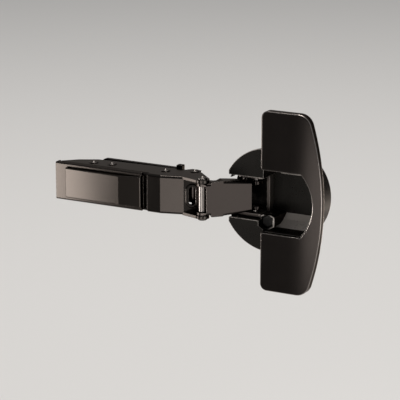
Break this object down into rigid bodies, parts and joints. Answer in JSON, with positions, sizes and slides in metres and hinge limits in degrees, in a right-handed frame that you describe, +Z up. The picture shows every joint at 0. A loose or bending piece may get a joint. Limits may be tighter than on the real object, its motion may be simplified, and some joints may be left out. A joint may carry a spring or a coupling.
{
  "type": "concealed cup hinge",
  "caption": "Concealed hinge for an overlay cabinet door: a round cup let into the door, a crowned cover plate, folded links and a long adjustable arm clipped to a plate.",
  "frame": {"origin": "midway between the mounting plate's two screw holes, on the side panel's face", "axes": "+X from the back of the cabinet to its front, +Y into the side panel, +Z up along the pivots"},
  "size_m": [0.103, 0.0265, 0.0652],
  "materials": {
    "black_nickel_steel": "polished black nickel plating on folded steel",
    "plated_inner_steel": "plain dark plating on inner steel parts",
    "black_nickel_cap": "satin black nickel plating on a thin steel cap",
    "black_nickel_cover": "satin black nickel plating on a crowned steel cover",
    "black_nickel_zinc": "black nickel plating on cast zinc",
    "black_nickel_pin": "plated steel rivets",
    "bright_sleeve": "bright turned steel",
    "spring_steel": "oiled spring wire",
    "black_plastic": "smooth black plastic"
  },
  "bodies": {
    "plate": {"mounting_plate": "black_nickel_steel", "clip_base": "plated_inner_steel", "lever_pin": "plated_inner_steel"},
    "lever": {"release_lever": "black_nickel_steel"},
    "slider": {"depth_slider": "plated_inner_steel"},
    "depth_screw": {"depth_cam": "black_nickel_steel"},
    "arm": {"arm_channel": "black_nickel_steel", "arm_cover": "black_nickel_cap", "outer_arm_pin": "black_nickel_pin", "inner_arm_pin": "black_nickel_pin", "spring_rivet": "black_nickel_pin", "closing_spring": "spring_steel", "outer_sleeve": "bright_sleeve", "tilt_pin": "black_nickel_pin", "guide_studs": "black_nickel_pin"},
    "overlay": {"overlay_screw": "black_nickel_steel"},
    "outer_link": {"outer_link": "black_nickel_steel"},
    "cup": {"cup_shell": "black_nickel_zinc", "cup_bracket": "black_nickel_steel", "cup_outer_pins": "black_nickel_pin", "cup_inner_pin": "black_nickel_pin", "damper_cylinder": "black_plastic", "cup_cover": "black_nickel_cover"},
    "inner_link": {"inner_link": "black_nickel_steel"},
    "button": {"damper_button": "black_plastic"}
  },
  "joints": [
    {"name": "depth", "type": "slide", "parent": "plate", "child": "slider", "axis": [1, 0, 0], "range_m": [-0.002, 0.003]},
    {"name": "depth_screw_turn", "type": "hinge", "parent": "slider", "child": "depth_screw", "pos_m": [0.0032, -0.009, 0], "axis": [0, 1, 0], "range_deg": [-144.2, 216.2]},
    {"name": "tilt", "type": "hinge", "parent": "slider", "child": "arm", "pos_m": [-0.0095, -0.0096, 0], "axis": [0, 0, 1], "range_deg": [-1.65, 1.65]},
    {"name": "overlay_screw_turn", "type": "hinge", "parent": "slider", "child": "overlay", "pos_m": [0.0102, -0.012, 0], "axis": [0, 1, 0], "range_deg": [-292.5, 292.5]},
    {"name": "lever_press", "type": "hinge", "parent": "plate", "child": "lever", "pos_m": [-0.0134, -0.0046, 0], "axis": [0, 0, 1], "range_deg": [0, 15], "stiffness_Nm_per_rad": 0.02},
    {"name": "fold", "type": "hinge", "parent": "arm", "child": "outer_link", "pos_m": [0.0375, -0.0127, 0], "axis": [0, 0, 1], "range_deg": [-10, 45]},
    {"name": "cup_turn", "type": "hinge", "parent": "outer_link", "child": "cup", "pos_m": [0.0515, 0.0016, 0], "axis": [0, 0, 1], "range_deg": [-135, 30]},
    {"name": "inner_link_turn", "type": "hinge", "parent": "cup", "child": "inner_link", "pos_m": [0.0468, 0.0026, 0], "axis": [0, 0, 1], "range_deg": [-30, 135]},
    {"name": "button_press", "type": "slide", "parent": "cup", "child": "button", "axis": [0, 1, 0], "range_m": [0, 0.0012]}
  ],
  "couplings": [
    {"joint": "depth_screw_turn", "follows": "depth", "rad_per_m": 1256.6},
    {"joint": "overlay_screw_turn", "follows": "tilt", "ratio": -176.83},
    {"joint": "cup_turn", "follows": "fold", "ratio": -3},
    {"joint": "inner_link_turn", "follows": "fold", "ratio": 3}
  ]
}
